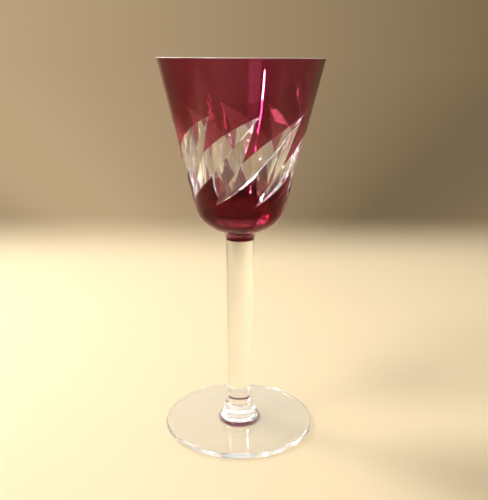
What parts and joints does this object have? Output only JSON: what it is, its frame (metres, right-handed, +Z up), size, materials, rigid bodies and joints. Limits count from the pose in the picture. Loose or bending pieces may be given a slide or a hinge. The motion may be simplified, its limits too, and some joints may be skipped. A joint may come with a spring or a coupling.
{
  "type": "hock wine glass",
  "caption": "Stemmed hock wine glass: tapered ruby-cased bowl cut through to clear in a belt of slanted leaves, on a plain clear stem and a round foot.",
  "frame": {"origin": "on the table, under the middle of the foot", "axes": "+Z up along the stem; the front of the glass faces -Y"},
  "size_m": [0.0778, 0.0778, 0.185],
  "materials": {
    "clear_crystal": "polished",
    "ruby_glass": "polished"
  },
  "bodies": {
    "root": {"foot": "clear_crystal", "stem": "clear_crystal", "bowl": "clear_crystal", "ruby_cup": "ruby_glass", "ruby_band": "ruby_glass"}
  },
  "joints": []
}
